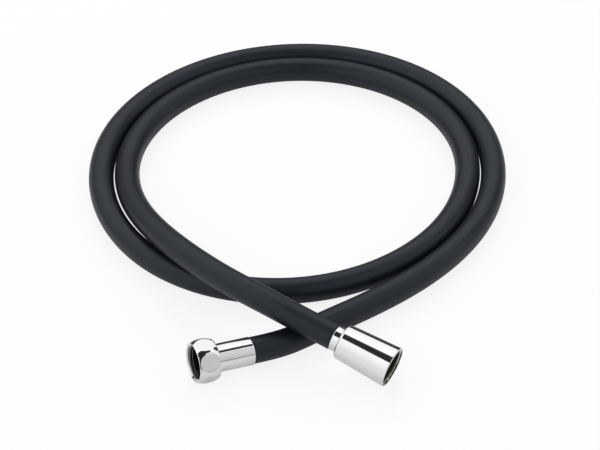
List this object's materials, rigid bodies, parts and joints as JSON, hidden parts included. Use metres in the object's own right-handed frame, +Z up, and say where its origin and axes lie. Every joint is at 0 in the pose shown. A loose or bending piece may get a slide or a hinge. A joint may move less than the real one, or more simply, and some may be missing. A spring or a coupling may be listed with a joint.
{
  "type": "shower hose",
  "caption": "Smooth flexible shower hose lying in loose loops, with a crowned hexagon union nut for the wall outlet and a long conical union nut for the hand shower.",
  "frame": {"origin": "under the middle of the whole hose, on the surface that it lies on", "axes": "+Z up; -Y towards the end where both nuts lie, with the hexagon nut towards -X and the conical nut towards +X"},
  "size_m": [0.2673, 0.3551, 0.0366],
  "materials": {
    "black_hose": "smooth satin black PVC",
    "chrome": "polished chrome plating on brass",
    "raw_brass": "turned brass, left bare",
    "seal_rubber": "black sealing rubber"
  },
  "bodies": {
    "hose_body": {"hose": "black_hose", "hex_ferrule": "chrome", "hex_tail": "raw_brass", "hex_washer": "seal_rubber", "cone_ferrule": "chrome", "cone_tail": "raw_brass", "cone_washer": "seal_rubber"},
    "hex_nut_body": {"hex_nut": "chrome"},
    "cone_nut_body": {"cone_nut": "chrome"}
  },
  "joints": [
    {"name": "hex_nut_spin", "type": "hinge", "parent": "hose_body", "child": "hex_nut_body", "pos_m": [-0.04992, -0.15907, 0.0122], "axis": [-0.9158, -0.3954, 0.0708], "continuous": true},
    {"name": "cone_nut_spin", "type": "hinge", "parent": "hose_body", "child": "cone_nut_body", "pos_m": [0.04241, -0.15981, 0.01525], "axis": [0.863, -0.4631, -0.2021], "continuous": true}
  ]
}
